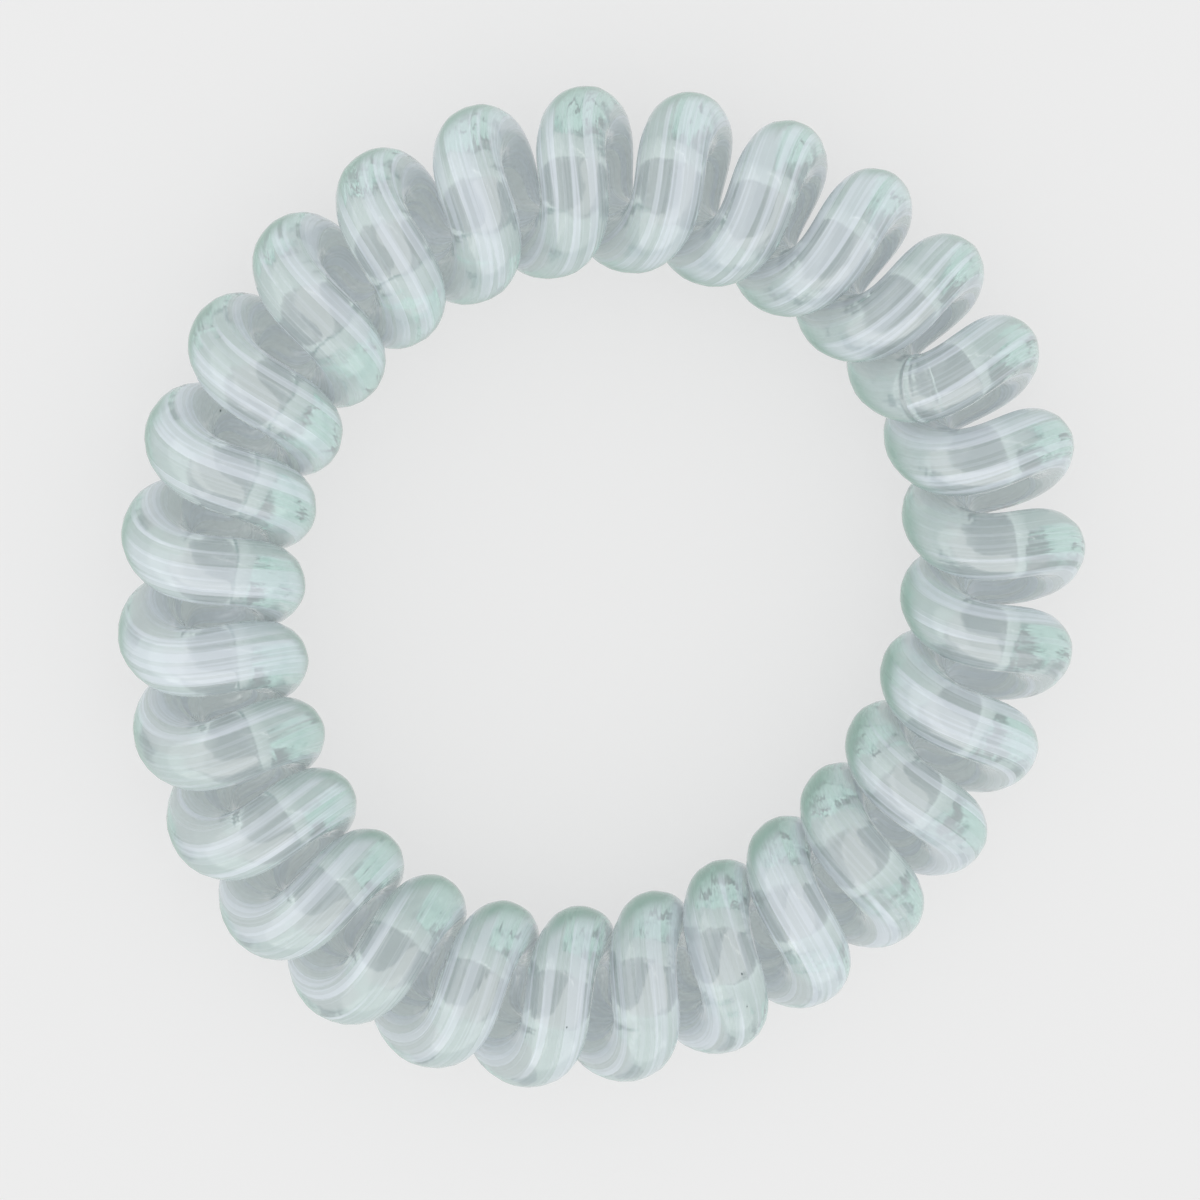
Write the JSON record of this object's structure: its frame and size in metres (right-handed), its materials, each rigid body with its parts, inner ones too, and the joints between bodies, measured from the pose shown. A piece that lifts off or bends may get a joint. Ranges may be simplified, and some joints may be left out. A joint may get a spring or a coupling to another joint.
{
  "type": "spiral hair tie",
  "caption": "Spiral hair tie: a clear, faintly green plastic strand coiled into turns that touch inside and fan open outside, closed into a ring.",
  "frame": {"origin": "centre of the ring on the surface it lies on", "axes": "+Z along the ring's axis, up from the surface; +Y towards the top of the picture; +X to its right"},
  "size_m": [0.054, 0.0556, 0.0102],
  "materials": {
    "clear_strand": "smooth glossy clear polyurethane, faint mint tint"
  },
  "bodies": {
    "root": {"coil_strand": "clear_strand"}
  },
  "joints": []
}
